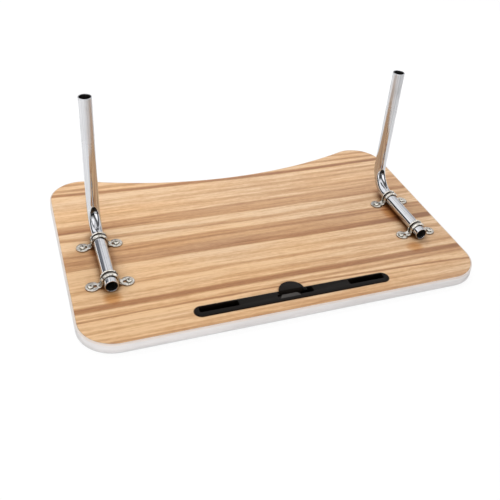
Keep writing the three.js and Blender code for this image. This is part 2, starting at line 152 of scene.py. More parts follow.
# Its dark places have soft edges. One is the rim beside the flap's recess, painted black as shade.
# The other is the gap between the flap's barrel and the pad, which reaches as far from HINGE_X to
# the left and right.
RIM_LEFT = (10.5, 11.5)
RIM_RIGHT = (26.0, 27.0)
RIM_FRONT = (-168.3, -167.3)
HINGE_X = -6.0
HINGE_REACH = (18.0, 21.0)
HINGE_FRONT = (-161.5, -160.5)
HINGE_BACK = (-156.0, -154.5)


# Mesh helpers


def link_object(name, data):
    made = bpy.data.objects.new(name, data)
    bpy.context.scene.collection.objects.link(made)
    return made


def new_object(name, bm, materials):
    """A bmesh in millimetres as an object in metres."""
    bmesh.ops.scale(bm, vec=(MM, MM, MM), verts=bm.verts)
    mesh = bpy.data.meshes.new(name)
    bm.to_mesh(mesh)
    bm.free()
    for used in materials:
        mesh.materials.append(used)
    return link_object(name, mesh)


def stand_for(piece, body, node):
    """The piece rides on a body and stands for a CAD node, which is hidden."""
    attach(piece, body)
    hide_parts(node)


def bridge(bm, rings, closed=False, material_of=None):
    """Quads between rings of vertices, each ring closed on itself."""
    count = len(rings[0])
    pairs = list(zip(rings, rings[1:]))
    if closed:
        pairs.append((rings[-1], rings[0]))
    for index, (low, high) in enumerate(pairs):
        for i in range(count):
            j = (i + 1) % count
            face = bm.faces.new((low[i], low[j], high[j], high[i]))
            if material_of:
                face.material_index = material_of(index)


def smoothstep(low, high, value):
    t = min(max((value - low) / (high - low), 0.0), 1.0)
    return t * t * (3 - 2 * t)


def arc(cx, cy, radius, start, end, steps):
    """Points along an arc between two angles."""
    points = []
    for i in range(steps + 1):
        a = math.radians(start + (end - start) * i / steps)
        points.append((cx + radius * math.cos(a), cy + radius * math.sin(a)))
    return points


def shade_smooth(piece, angle):
    """Smooth shading, except across edges sharper than the angle."""
    piece.data.shade_smooth()
    piece.data.set_sharp_from_angle(angle=math.radians(angle))


def add_modifier(piece, kind, **settings):
    modifier = piece.modifiers.new(kind.lower(), kind)
    for key, value in settings.items():
        setattr(modifier, key, value)


def round_edges(piece, width, segments, angle):
    """Rounds the edges that are sharper than the angle."""
    limit = {"limit_method": "ANGLE", "angle_limit": math.radians(angle)}
    add_modifier(piece, "BEVEL", width=width * MM, segments=segments, **limit)


def apply_modifiers(piece):
    """The piece keeps the mesh that its modifiers give."""
    graph = bpy.context.evaluated_depsgraph_get()
    mesh = bpy.data.meshes.new_from_object(piece.evaluated_get(graph), depsgraph=graph)
    piece.modifiers.clear()
    piece.data = mesh


def take_mesh(piece):
    """The piece's mesh, with the object itself removed."""
    mesh = piece.data
    bpy.data.objects.remove(piece)
    return mesh


def place_copy(name, mesh, spot, turn=0.0):
    """A copy of a mesh, with its place in its vertices as the CAD nodes have theirs."""
    copy = mesh.copy()
    copy.transform(Matrix.Translation(Vector(spot) * MM) @ Matrix.Rotation(math.radians(turn), 4, "Z"))
    copy.name = name
    return link_object(name, copy)


# Node helpers


class Nodes:
    """Short calls that build a node tree. A socket or a plain value may be given for any input."""

    def __init__(self, tree):
        self.tree = tree
        tree.nodes.clear()

    def add(self, kind, inputs=(), **settings):
        """A node with its settings, and its inputs given in order or by their name or number."""
        node = self.tree.nodes.new(kind)
        for key, value in settings.items():
            setattr(node, key, value)
        pairs = inputs.items() if isinstance(inputs, dict) else enumerate(inputs)
        for key, value in pairs:
            self.put(node.inputs[key], value)
        return node

    def put(self, socket, value):
        if isinstance(value, bpy.types.NodeSocket):
            self.tree.links.new(value, socket)
        elif socket.type == "RGBA":
            socket.default_value = (*value, 1)
        else:
            socket.default_value = value

    def math(self, operation, *values, clamp=False):
        return self.add("ShaderNodeMath", values, operation=operation, use_clamp=clamp).outputs[0]

    def chain(self, operation, values):
        """One operation on all the values in turn."""
        result, *others = values
        for value in others:
            result = self.math(operation, result, value)
        return result

    def total(self, *values):
        return self.chain("ADD", values)

    def product(self, *values):
        return self.chain("MULTIPLY", values)

    def square(self, value):
        return self.math("MULTIPLY", value, value)

    def sway(self, value, noise, reach):
        """The value moved by a noise, up to half of reach either way."""
        return self.math("MULTIPLY_ADD", self.math("SUBTRACT", noise, 0.5), reach, value)

    def smooth(self, value, low, high, start=0.0, end=1.0):
        """From start at low to end at high."""
        inputs = (value, low, high, start, end)
        return self.add("ShaderNodeMapRange", inputs, interpolation_type="SMOOTHSTEP").outputs[0]

    def fall(self, value, low, high):
        return self.smooth(value, low, high, 1.0, 0.0)

    def mix(self, factor, a, b, blend_type="MIX"):
        inputs = {0: factor, 6: a, 7: b}
        return self.add("ShaderNodeMix", inputs, data_type="RGBA", blend_type=blend_type).outputs[2]

    def tinted(self, color, tint):
        return self.mix(1.0, color, tint, "MULTIPLY")

    def blend(self, factor, a, b):
        """Between two numbers, as mix is between two colours."""
        return self.add("ShaderNodeMix", {0: factor, 2: a, 3: b}, data_type="FLOAT").outputs[0]

    def place(self):
        """The point's place on the object, in millimetres, as separate numbers."""
        spot = self.add("ShaderNodeTexCoord").outputs["Object"]
        split = self.add("ShaderNodeSeparateXYZ", (spot,)).outputs
        return [self.math("MULTIPLY", axis, 1 / MM) for axis in split]

    def noise(self, place, lengths, shift=0.0, detail=2.0, distortion=0.0):
        """Noise whose features have these lengths along X, Y and Z, from a place moved by shift."""
        axes = [self.math("MULTIPLY_ADD", p, 1.0 / n, shift) for p, n in zip(place, lengths)]
        vector = self.add("ShaderNodeCombineXYZ", axes).outputs[0]
        inputs = {"Vector": vector, "Scale": 1.0, "Detail": detail, "Distortion": distortion}
        return self.add("ShaderNodeTexNoise", inputs).outputs["Fac"]

    def open_sky(self, distance, samples=8):
        """How open the point is, 0 to 1, within a distance in millimetres."""
        inputs = {"Distance": distance * MM}
        return self.add("ShaderNodeAmbientOcclusion", inputs, samples=samples).outputs["AO"]

    def ray(self, kind):
        return self.add("ShaderNodeLightPath").outputs[f"Is {kind} Ray"]

    def ramp(self, value, stops):
        node = self.add("ShaderNodeValToRGB", (value,))
        elements = node.color_ramp.elements
        while len(elements) < len(stops):
            elements.new(0.5)
        for element, (place, color) in zip(elements, stops):
            element.position = place
            element.color = (*color, 1)
        return node.outputs["Color"]

    def bump(self, height, depth, strength):
        """Bump of a depth in millimetres."""
        inputs = {"Height": height, "Distance": depth * MM, "Strength": strength}
        return self.add("ShaderNodeBump", inputs).outputs["Normal"]

    def surface(self, **inputs):
        """A principled surface. Names are its inputs, with _ for each space."""
        inputs = {key.replace("_", " "): value for key, value in inputs.items()}
        return self.add("ShaderNodeBsdfPrincipled", inputs).outputs[0]

    def glowing(self, color, strength):
        """A diffuse surface of a colour that also gives off white light."""
        diffuse = self.add("ShaderNodeBsdfDiffuse", (color,)).outputs[0]
        glow = self.add("ShaderNodeEmission", (WHITE, strength)).outputs[0]
        return self.add("ShaderNodeAddShader", (diffuse, glow)).outputs[0]

    def mix_shaders(self, factor, a, b):
        return self.add("ShaderNodeMixShader", (factor, a, b)).outputs[0]

    def finish(self, shader):
        self.add("ShaderNodeOutputMaterial", (shader,))


def srgb(red, green, blue):
    """A display colour, 0 to 255, as the linear colour that nodes take."""

    def linear(v):
        v /= 255.0
        return v / 12.92 if v <= 0.04045 else ((v + 0.055) / 1.055) ** 2.4

    return tuple(linear(v) for v in (red, green, blue))


def material(name):
    made = bpy.data.materials.new(name)
    made.use_nodes = True
    return made, Nodes(made.node_tree)


# Wood-grain laminate
# The print's stripes, roughly from back to front. Each has the Y of its front edge at the board's
# left end, middle and right end, how soft that edge is, its width, how soft its back edge is, and
# how dark it is at the left and right ends.
STRIPES = (
    ((181, 182, 177), 4, 4, 6, 0.40, 0.40),
    ((166, 162, 163), 5, 4, 6, 0.50, 0.40),
    ((154, 142.8, 147.5), 5, 4.5, 7, 0.74, 0.78),
    ((125, 123, 130), 5, 3, 5, 0.04, 0.24),
    ((112, 110, 117), 4, 4, 6, 0.16, 0.22),
    ((103, 102, 101), 4, 4, 5, 0.10, -0.06),
    ((72, 72, 72), 12, 56, 8, 0.06, 0.08),
    ((84, 84, 86), 4, 4, 6, 0.14, 0.24),
    ((78, 79, 76), 3, 3, 3, 0.10, 0.16),
    ((67, 65, 69.5), 5, 4, 6, 0.04, 0.22),
    ((49.5, 53, 53), 4, 15, 5, 0.48, 0.26),
    ((48, 44.8, 46.8), 4, 4, 7, 0.40, 0.54),
    ((30.5, 19, 34), 4, 3, 9, 0.46, 0.24),
    ((-38.3, -39.9, -42), 3, 42, 6, 0.34, 0.24),
    ((-3, -1, -1), 4, 3, 5, 0.02, 0.30),
    ((-9.0, -8.6, -9.8), 4, 3, 4, 0.28, 0.24),
    ((-26, -27, -25), 5, 7, 5, 0.24, 0.06),
    ((-38.3, -39.9, -40), 4, 8, 6, 0.12, 0.58),
    ((-65, -64, -72), 5, 4, 7, 0.10, 0.24),
    ((-90, -84, -88), 5, 4, 5, 0.30, 0.14),
    ((-80, -82, -94), 3, 2, 4, 0.22, 0.10),
    ((-106, -106, -105), 4, 4, 5, 0.16, 0.16),
    ((-112, -112, -112), 5, 6, 5, 0.10, 0.12),
    ((-128.6, -127.8, -129.5), 5, 8, 6, 0.68, 0.72),
    ((-140, -140, -137), 4, 4, 4, 0.20, 0.34),
    ((-146, -145.4, -158.5), 2.5, 2, 3, 0.62, 0.62),
    ((-161, -161, -161), 4, 3, 4, 0.18, 0.10),
    ((-170, -170, -170), 3, 3, 4, 0.26, 0.12),
    ((-186, -186, -186), 4, 3, 4, 0.18, 0.26),
    ((-192.5, -193, -191.5), 2, 3, 4, 0.44, 0.34),
)
# Finer streaks: the lengths of their features, their detail and how much they darken.
STREAKS = (
    ((380, 22, 22), 2.5, 0.22),
    ((160, 5.5, 5.5), 3.5, 0.46),
    ((42, 2.2, 2.2), 3.5, 0.72),
    ((9, 3.2, 3.2), 2.0, 0.30),
)
# Painted amber shadows on the wood by the tubes: centre, half width, half depth and strength.
AMBER_SHADOWS = (
    (-245.0, -107.0, 14.0, 15.0, 0.85),
    (225.0, -110.0, 15.0, 14.0, 0.75),
    (231.0, -17.0, 14.0, 26.0, 0.85),
    (-255.0, -3.0, 6.0, 12.0, 0.60),
)
WOOD_COLORS = (
    (0.0, srgb(238, 204, 166)),
    (0.30, srgb(213, 171, 130)),
    (0.75, srgb(178, 131, 95)),
    (1.0, srgb(157, 114, 85)),
)
WOOD_TINTS = (
    (0.25, (1.0, 0.938, 0.840)),
    (0.5, (1.0, 0.985, 0.960)),
    (0.75, (1.0, 1.030, 1.075)),
)
# The tint of the painted amber shadows by the tubes.
AMBER = (0.76, 0.50, 0.22)
CORNER_SHADE = (0.30, 0.17, 0.07)
# The colour of the painted shade round the slot's rim.
SLOT_RIM_SHADE = (0.05, 0.02, 0.006)


def wood_tone(n, place, shift):
    """How dark the wood is, 0 to 1, from its stripes and its finer streaks."""
    x, y, _ = place
    along = n.math("DIVIDE", x, HALF_WIDTH)
    along_squared = n.square(along)
    moved = n.sway(y, n.noise(place, (230, 60, 60), 3.1 + shift, detail=1.5), 4.0)
    moved = n.sway(moved, n.noise(place, (60, 9, 9), 7.7 + shift), 2.2)
    layers = []
    for (left, middle, right), front_soft, width, back_soft, dark_left, dark_right in STRIPES:
        edge = n.math("MULTIPLY_ADD", along, -(right - left) / 2, moved)
        edge = n.math("MULTIPLY_ADD", along_squared, middle - (right + left) / 2, edge)
        front = n.smooth(edge, middle - front_soft / 2, middle + front_soft / 2)
        back = n.fall(edge, middle + width, middle + width + back_soft)
        ends_differ, ends_mean = (dark_right - dark_left) / 2, (dark_right + dark_left) / 2
        layers.append(n.product(front, back, n.math("MULTIPLY_ADD", along, ends_differ, ends_mean)))
    tone = n.math("MULTIPLY_ADD", along, 0.08, n.total(*layers))
    for index, (lengths, detail, weight) in enumerate(STREAKS):
        streak_shift = 11.3 * (index + 1) + shift
        tone = n.sway(tone, n.noise(place, lengths, streak_shift, detail, distortion=0.35), weight)
    return tone


def wood_color(n, place, pore, shift):
    """The print's colour, a little yellower at the front left and cooler at the back right."""
    x, y, _ = place
    tone = n.math("MULTIPLY_ADD", pore, 0.16, wood_tone(n, place, shift))
    color = n.ramp(n.math("ADD", tone, 0.09, clamp=True), WOOD_COLORS)
    hue = n.noise(place, (190, 34, 34), 21.0 + shift, detail=3.0)
    hue = n.math("MULTIPLY_ADD", n.math("DIVIDE", x, HALF_WIDTH), 0.24, hue)
    hue = n.math("MULTIPLY_ADD", n.smooth(y, -140.0, 40.0, -0.5, 0.5), 0.22, hue)
    return n.tinted(color, n.ramp(hue, WOOD_TINTS))


def with_amber_shadows(n, place, color):
    """The colour with the painted amber shadows by the tubes, whose edges are ragged."""
    x, y, _ = place
    amber = n.tinted(color, AMBER)
    ragged = n.noise(place, (14, 4, 4), 31.0, detail=3.0)
    for centre_x, centre_y, half_x, half_y, strength in AMBER_SHADOWS:
        across = n.math("DIVIDE", n.math("SUBTRACT", x, centre_x), half_x)
        ahead = n.math("DIVIDE", n.math("SUBTRACT", y, centre_y), half_y)
        far = n.total(n.square(across), n.square(ahead), ragged)
        color = n.mix(n.smooth(far, 0.45, 1.8, strength, 0.0), color, amber)
    return color


def slot_rim_shade(n, place):
    """The painted shade that darkens the wood in the corner round the slot's rim, to multiply by."""
    x, y, _ = place
    past_end = n.math("SUBTRACT", n.math("ABSOLUTE", x), SLOT_HALF_LENGTH - SLOT_RADIUS)
    past_end = n.math("MAXIMUM", past_end, 0.0)
    aside = n.math("SUBTRACT", y, SLOT_Y)
    from_middle = n.math("SQRT", n.total(n.square(past_end), n.square(aside)))
    past_rim = n.math("SUBTRACT", from_middle, SLOT_RADIUS)
    return n.mix(n.smooth(past_rim, 0.5, 2.0), SLOT_RIM_SHADE, WHITE)


def wood_shader(n, place, shift=0.0, painted_shade=False):
    """Wood-grain print with painted shade in its corners. On the top face it also has painted amber
    shadows by the tubes and painted shade round the slot's rim.
    """
    pore = n.smooth(n.noise(place, (7.0, 0.45, 0.45), 5.0 + shift), 0.60, 0.74)
    color = wood_color(n, place, pore, shift)
    if painted_shade:
        color = with_amber_shadows(n, place, color)
    color = n.tinted(color, n.mix(n.smooth(n.open_sky(14.0), 0.28, 0.96), CORNER_SHADE, WHITE))
    if painted_shade:
        color = n.tinted(color, slot_rim_shade(n, place))
    rough = n.math("MULTIPLY_ADD", n.noise(place, (40, 3, 3), detail=3.0), 0.16, 0.42)
    rough = n.math("MULTIPLY_ADD", pore, 0.12, rough)
    normal = n.bump(n.math("SUBTRACT", 1.0, pore), 0.03, 0.5)
    return n.surface(Base_Color=color, Roughness=rough, Normal=normal, Specular_IOR_Level=0.2)


def make_wood():
    made, n = material("wood_face")
    n.finish(wood_shader(n, n.place(), painted_shade=True))
    return made


def make_core():
    """The core board: the pressed-on work face underneath, and bare chipboard where it is cut."""
    made, n = material("board")
    place = n.place()
    chips = n.noise(place, (1.6, 1.1, 0.7), detail=3.0)
    fibres = n.noise(place, (6.0, 6.0, 0.9), 4.0)
    color = n.ramp(
        n.math("MULTIPLY_ADD", fibres, 0.5, n.math("MULTIPLY", chips, 0.5)),
        ((0.3, srgb(128, 98, 68)), (0.5, srgb(166, 132, 94)), (0.7, srgb(196, 163, 122))),
    )
    cut = n.surface(Base_Color=color, Roughness=0.85, Normal=n.bump(chips, 0.4, 0.6))
    above_face = n.smooth(place[2], 0.2, 0.4)
    n.finish(n.mix_shaders(above_face, wood_shader(n, place, shift=40.0), cut))
    return made


# Other materials


def make_band():
    """Pale grey plastic edge strip, a little scuffed, and warmer along its upper edge."""
    made, n = material("edge_band")
    place = n.place()
    cloud = n.noise(place, (60, 60, 5), detail=3.0)
    speck = n.noise(place, (1.2, 1.2, 0.8), 9.0)
    scuffs = n.noise(place, (18, 18, 0.5), 2.0)
    color = n.ramp(cloud, ((0.3, srgb(221, 217, 216)), (0.7, srgb(231, 227, 226))))
    color = n.mix(n.smooth(speck, 0.66, 0.8, 0.0, 0.25), color, srgb(178, 172, 168))
    color = n.mix(n.smooth(place[2], 11.5, 14.0, 0.0, 0.8), color, srgb(232, 217, 206))
    rough = n.math("MULTIPLY_ADD", cloud, 0.2, 0.34)
    normal = n.bump(scuffs, 0.06, 0.35)
    n.finish(n.surface(Base_Color=color, Roughness=rough, Normal=normal, Specular_IOR_Level=0.4))
    return made


def make_chrome():
    """Polished plate with faint draw lines along the tube and the dulled patches of handling. It has
    painted shade in corners and in the crush mark, and is duller towards the leg's top."""
    made, n = material("tube_chrome")
    place = n.place()
    height = place[2]
    haze = n.noise(place, (14, 40, 40), detail=3.0)
    lying_lines = n.noise(place, (1.6, 300, 1.6))
    standing_lines = n.noise(place, (1.6, 1.6, 300), 4.0)
    lines = n.blend(n.smooth(height, 45.0, 80.0), lying_lines, standing_lines)
    patches = n.noise(place, (9, 9, 30), 3.0, detail=3.0)
    # The crease attribute holds the painted shade of the crush mark.
    crease = n.add("ShaderNodeAttribute", attribute_name="crease").outputs["Fac"]
    color = n.mix(n.smooth(lines, 0.32, 0.68), srgb(192, 193, 196), srgb(214, 214, 216))
    color = n.mix(n.smooth(patches, 0.52, 0.80, 0.0, 0.35), color, srgb(168, 167, 166))
    # Painted shade in corners, such as where the tube meets the saddles.
    color = n.mix(n.smooth(n.open_sky(6.0), 0.55, 0.92), srgb(44, 42, 40), color)
    # The crush mark is painted dark as far as its crease attribute says.
    color = n.mix(n.math("MULTIPLY", crease, 0.97), color, srgb(30, 29, 29))
    rough = n.smooth(haze, 0.35, 0.75, 0.03, 0.10)
    rough = n.math("MULTIPLY_ADD", n.smooth(patches, 0.50, 0.80), 0.10, rough)
    rough = n.math("MULTIPLY_ADD", n.smooth(height, 105.0, 195.0), 0.27, rough)
    normal = n.bump(haze, 0.03, 0.12)
    n.finish(n.surface(Base_Color=color, Metallic=1.0, Roughness=rough, Normal=normal))
    return made


def make_tube_inside():
    """Dull dark steel, as a drawn tube has inside."""
    made, n = material("tube_inside")
    scale = n.noise(n.place(), (3, 9, 9), detail=4.0)
    color = n.ramp(scale, ((0.3, srgb(26, 24, 24)), (0.7, srgb(58, 54, 52))))
    normal = n.bump(scale, 0.2, 0.5)
    n.finish(n.surface(Base_Color=color, Metallic=0.6, Roughness=0.6, Normal=normal))
    return made


def make_plated(name, light, dark, least_rough, most_rough):
    """Pressed or turned steel with a bright plating, duller in patches and specked."""
    made, n = material(name)
    place = n.place()
    patch = n.noise(place, (5, 5, 5), detail=4.0)
    grain = n.noise(place, (0.9, 0.9, 0.9), 6.0)
    specks = n.noise(place, (1.7, 1.7, 1.7), 9.0)
    color = n.mix(n.smooth(patch, 0.35, 0.7), light, dark)
    color = n.mix(n.smooth(specks, 0.50, 0.66, 0.0, 0.62), color, srgb(88, 80, 68))
    # Painted shade in crevices and round the screw heads, within 3 mm of other surfaces.
    color = n.mix(n.smooth(n.open_sky(3.0), 0.3, 0.85), srgb(62, 55, 46), color)
    rough = n.smooth(patch, 0.3, 0.75, least_rough, most_rough)
    normal = n.bump(n.math("ADD", grain, specks), 0.12, 0.6)
    n.finish(n.surface(Base_Color=color, Metallic=1.0, Roughness=rough, Normal=normal))
    return made


def make_moulded(name, base, worn, least_rough, most_rough):
    """Moulded plastic with a fine spark-eroded texture. It is painted black as shade on the slot's rim
    beside the flap's recess, and wholly dull in the gap between the flap's barrel and the pad."""
    made, n = material(name)
    place = n.place()
    x, y, _ = place
    texture = n.noise(place, (0.5, 0.5, 0.5))
    dust = n.noise(place, (16, 7, 7), 8.0, detail=4.0)
    shade_beside_recess = n.product(n.smooth(x, *RIM_LEFT), n.fall(x, *RIM_RIGHT), n.smooth(y, *RIM_FRONT))
    from_hinge = n.fall(n.math("ABSOLUTE", n.math("SUBTRACT", x, HINGE_X)), *HINGE_REACH)
    hinge_gap = n.product(n.smooth(y, *HINGE_FRONT), n.fall(y, *HINGE_BACK), from_hinge)
    color = n.mix(n.smooth(dust, 0.4, 0.75), base, worn)
    color = n.mix(shade_beside_recess, color, BLACK)
    rough = n.math("MAXIMUM", n.smooth(dust, 0.3, 0.75, least_rough, most_rough), hinge_gap)
    normal = n.bump(texture, 0.06, 0.5)
    n.finish(n.surface(Base_Color=color, Roughness=rough, Normal=normal, Specular_IOR_Level=0.12))
    return made


wood = make_wood()
core = make_core()
band = make_band()
chrome = make_chrome()
tube_inside = make_tube_inside()
saddle_steel = make_plated("saddle", srgb(213, 209, 201), srgb(184, 178, 167), 0.10, 0.26)
# The groove between the saddle's ridges is painted dark, as shade.
groove_shade_steel = make_plated("saddle_groove_shade", srgb(48, 43, 37), srgb(28, 25, 22), 0.35, 0.6)
screw_steel = make_plated("screw_steel", srgb(228, 224, 215), srgb(196, 190, 178), 0.08, 0.20)
black = make_moulded("black_plastic", srgb(11, 7, 4), srgb(19, 13, 9), 0.35, 0.55)
grey_pad = make_moulded("grey_pad", srgb(72, 69, 67), srgb(86, 82, 79), 0.55, 0.75)


# Board


def board_outline(inset):
    """The board's outline drawn in by inset, as the CAD model's but with finer steps."""
    back_x, back_y = HALF_WIDTH - BACK_CORNER, HALF_DEPTH - BACK_CORNER
    front_x, front_y = HALF_WIDTH - FRONT_CORNER, FRONT_CORNER - HALF_DEPTH
    hollow = (back_x**2 + HOLLOW_DEPTH**2) / (2 * HOLLOW_DEPTH) - BACK_CORNER
    hollow_y = HALF_DEPTH - HOLLOW_DEPTH + hollow
    tangent = math.degrees(math.atan2(hollow_y - back_y, -back_x))
    front, back = FRONT_CORNER - inset, BACK_CORNER - inset
    return [
        *arc(-front_x, front_y, front, 180, 270, 30),
        *arc(front_x, front_y, front, 270, 360, 30),
        *arc(back_x, back_y, back, 0, tangent, 36),
        *arc(0, hollow_y, hollow + inset, tangent - 180, -tangent, 84)[1:-1],
        *arc(-back_x, back_y, back, 180 - tangent, 180, 36),
    ]


def strip_section():
    """The strip's section, as insets and heights: flat inside, with rounded outer edges and a
    shallow line along its face, low down."""
    r = BAND_ROUNDING
    return [
        (BAND_THICKNESS, BAND_BOTTOM),
        *((r - x, BAND_BOTTOM + r + y) for x, y in arc(0, 0, r, -90, 0, 6)),
        (0, BAND_LINE_HEIGHT - BAND_LINE_HALF),
        (BAND_LINE_DEPTH, BAND_LINE_HEIGHT),
        (0, BAND_LINE_HEIGHT + BAND_LINE_HALF),
        *((r - x, BOARD_TOP - r + y) for x, y in arc(0, 0, r, 0, 90, 8)),
        (BAND_THICKNESS, BOARD_TOP),
    ]


def make_edge_strip():
    bm = bmesh.new()
    rings = [[bm.verts.new((x, y, z)) for x, y in board_outline(inset)] for inset, z in strip_section()]
    bridge(bm, rings, closed=True)
    bmesh.ops.recalc_face_normals(bm, faces=bm.faces)
    strip = new_object("edge_strip", bm, [band])
    shade_smooth(strip, 50)
    stand_for(strip, "tray", "edge_band")


nodes["face_laminate"].data.materials[0] = wood
nodes["board_core"].data.materials[0] = core
make_edge_strip()


# Leg tubes


def crush(side, angle):
    """How far the tube's inner side is pressed in, at a distance to one side and an angle round the
    bend. The mark is a keeled trough, steep at its upper end and drawn out to a point at its lower
    one, that meets the round wall in a soft rim."""
    round_wall = math.sqrt(max(TUBE_RADIUS**2 - side**2, 0.0))
    run = (MARK_TOP - angle) / (MARK_TOP - MARK_BOTTOM)
    size = math.copysign(MARK_SCALE * abs(run) ** MARK_POWER, run) * (1 - run)
    keel = math.sqrt(KEEL_SLOPE * side**2 + KEEL_ROUNDING) - math.sqrt(KEEL_ROUNDING)
    trough = math.sqrt(TUBE_RADIUS**2 - MARK_SPREAD * size) - MARK_SINK * size + keel
    near = max(MARK_RIM - abs(round_wall - trough), 0.0) / MARK_RIM
    return max(round_wall - trough, 0.0) + near * near * MARK_RIM / 4


def crease_shade(side, angle):
    """How dark the crush mark is painted, 0 to 1: painted shade lies under its upper end, round its
    rim, in the fold that runs down it from its left side to its right, and left of the fold's upper
    end. The fold is in the middle at FOLD_MIDDLE and drifts to one side from there."""
    pressed = crush(side, angle)
    inside_mark = smoothstep(0.02, 0.20, pressed)
    under_end = smoothstep(62.0, 69.0, angle)
    rim_depth = 0.8 + 0.9 * smoothstep(0.0, 3.0, side)
    rim = (1 - smoothstep(rim_depth, rim_depth + 0.7, pressed)) * smoothstep(14.0, 30.0, angle)
    fold_side = min((FOLD_MIDDLE - angle) * FOLD_DRIFT, FOLD_LIMIT)
    fold = (1 - smoothstep(0.9, 2.0, abs(side - fold_side))) * smoothstep(10.0, 26.0, angle)
    left_of_fold = 1 - smoothstep(fold_side, fold_side + 0.8, side)
    left_of_fold *= smoothstep(44.0, 57.0, angle)
    return inside_mark * max(under_end, 0.95 * rim, 0.92 * fold, 0.9 * left_of_fold)


def tube_ring(bm, centre, angle, radius):
    """A ring round the tube's axis, where the tube has turned through an angle in the YZ plane."""
    # The crease attribute keeps the crush mark's painted shade at each vertex.
    crease = bm.verts.layers.float["crease"]
    turned = math.radians(angle)
    inner = Vector((0, -math.sin(turned), math.cos(turned)))
    ring = []
    for i in range(TUBE_STEPS):
        a = 2 * math.pi * i / TUBE_STEPS
        side, up = radius * math.cos(a), radius * math.sin(a)
        shade = 0.0
        if up > 0:
            up -= crush(side * TUBE_RADIUS / radius, angle)
            shade = crease_shade(side, angle)
        vert = bm.verts.new(centre + Vector((side, 0, 0)) + inner * up)
        vert[crease] = shade
        ring.append(vert)
    return ring


def end_rings(bm, centre, angle, outward):
    """The rounded rim of a cut end, from outside to inside, as radii and distances from the end."""
    turned = math.radians(angle)
    step = Vector((0, math.cos(turned), math.sin(turned))) * outward
    bore = TUBE_RADIUS - TUBE_WALL
    marks = (
        (TUBE_RADIUS, 1.0),
        (TUBE_RADIUS, 0.45),
        (TUBE_RADIUS - 0.12, 0.13),
        (TUBE_RADIUS - 0.42, 0.0),
        (bore + 0.3, 0.0),
        (bore + 0.06, 0.1),
        (bore, 0.35),
        (bore, 1.0),
    )
    return [tube_ring(bm, centre - step * depth, angle, radius) for radius, depth in marks]


def tube_stations(x):
    """Places along the tube's axis, from its front end to the leg's top, each with the angle that
    the tube has turned through."""
    bend_y, bend_z = LEG_Y - BEND_RADIUS, TUBE_Z + BEND_RADIUS
    stations = []
    for i in range(LYING_STEPS):
        stations.append((Vector((x, TUBE_END_Y + (bend_y - TUBE_END_Y) * i / LYING_STEPS, TUBE_Z)), 0))
    for i in range(BEND_STEPS + 1):
        angle = 90 * i / BEND_STEPS
        a = math.radians(angle)
        centre = (x, bend_y + BEND_RADIUS * math.sin(a), bend_z - BEND_RADIUS * math.cos(a))
        stations.append((Vector(centre), angle))
    for i in range(1, LEG_STEPS + 1):
        stations.append((Vector((x, LEG_Y, bend_z + (LEG_TOP - bend_z) * i / LEG_STEPS)), 90))
    return stations


def make_tube(side, sign):
    bm = bmesh.new()
    bm.verts.layers.float.new("crease")
    stations = tube_stations(sign * TUBE_X)
    between = stations[1:-1]
    rings = end_rings(bm, *stations[0], -1)[::-1]
    rings += [tube_ring(bm, centre, angle, TUBE_RADIUS) for centre, angle in between]
    rings += end_rings(bm, *stations[-1], 1)
    outside = len(rings) - 1
    rings += [tube_ring(bm, centre, angle, TUBE_RADIUS - TUBE_WALL) for centre, angle in between[::-1]]
    bridge(bm, rings, closed=True, material_of=lambda index: int(index >= outside))
    bmesh.ops.recalc_face_normals(bm, faces=bm.faces)
    tube = new_object(f"bent_tube_{side}", bm, [chrome, tube_inside])
    shade_smooth(tube, 70)
    stand_for(tube, f"{side}_leg", f"leg_tube_{side}")


for side, sign in SIDES.items():
    make_tube(side, sign)


# Pipe saddle shape
# A saddle is a flat blank bent over the tube. Its path runs along the side that faces the tube:
# a quarter of the arch, the upright, the bend at the foot, and the ear.
QUARTER = STRAP_INNER * math.pi / 2
UPRIGHT = STRAP_INNER - FOOT_BEND
FOOT = FOOT_BEND * math.pi / 2
EAR_START = QUARTER + UPRIGHT + FOOT
EAR_SHIFT = EAR_START - STRAP_INNER - FOOT_BEND


def blank_edge():
    """Half of the blank's outline, from its middle out to the round end and back."""
    root = STRAP_WIDTH / 2
    round_u = EAR_REACH - EAR_RADIUS + EAR_SHIFT
    slope = math.degrees(math.asin((EAR_RADIUS - root) / (round_u - EAR_START)))
    return [
        (0.0, -root),
        (EAR_START, -root),
        *arc(round_u, 0, EAR_RADIUS, -90 - slope, 90 + slope, 36),
        (EAR_START, root),
        (0.0, root),
    ]


def ear_slots():
    """The outlines of the slots in the blank's two ears."""
    radius = EAR_SLOT_WIDTH / 2
    reach = (EAR_SLOT[1] - EAR_SLOT[0]) / 2 - radius
    middle = sum(EAR_SLOT) / 2 + EAR_SHIFT
    slots = []
    for u in (-middle, middle):
        slots.append(arc(u + reach, 0, radius, -90, 90, 14) + arc(u - reach, 0, radius, 90, 270, 14))
    return slots


def on_path(u, v, lift):
    """A point of the blank, bent into place about the tube's axis."""
    sign = -1 if u < 0 else 1
    u = abs(u)
    if u <= QUARTER:
        a = u / STRAP_INNER
        x, z = (STRAP_INNER + lift) * math.sin(a), (STRAP_INNER + lift) * math.cos(a)
    elif u <= QUARTER + UPRIGHT:
        x, z = STRAP_INNER + lift, -(u - QUARTER)
    elif u <= EAR_START:
        a = (u - QUARTER - UPRIGHT) / FOOT_BEND
        reach = FOOT_BEND - lift
        x = STRAP_INNER + FOOT_BEND - reach * math.cos(a)
        z = -UPRIGHT - reach * math.sin(a)
    else:
        x, z = STRAP_INNER + FOOT_BEND + u - EAR_START, lift - STRAP_INNER
    return Vector((sign * x, v, z))


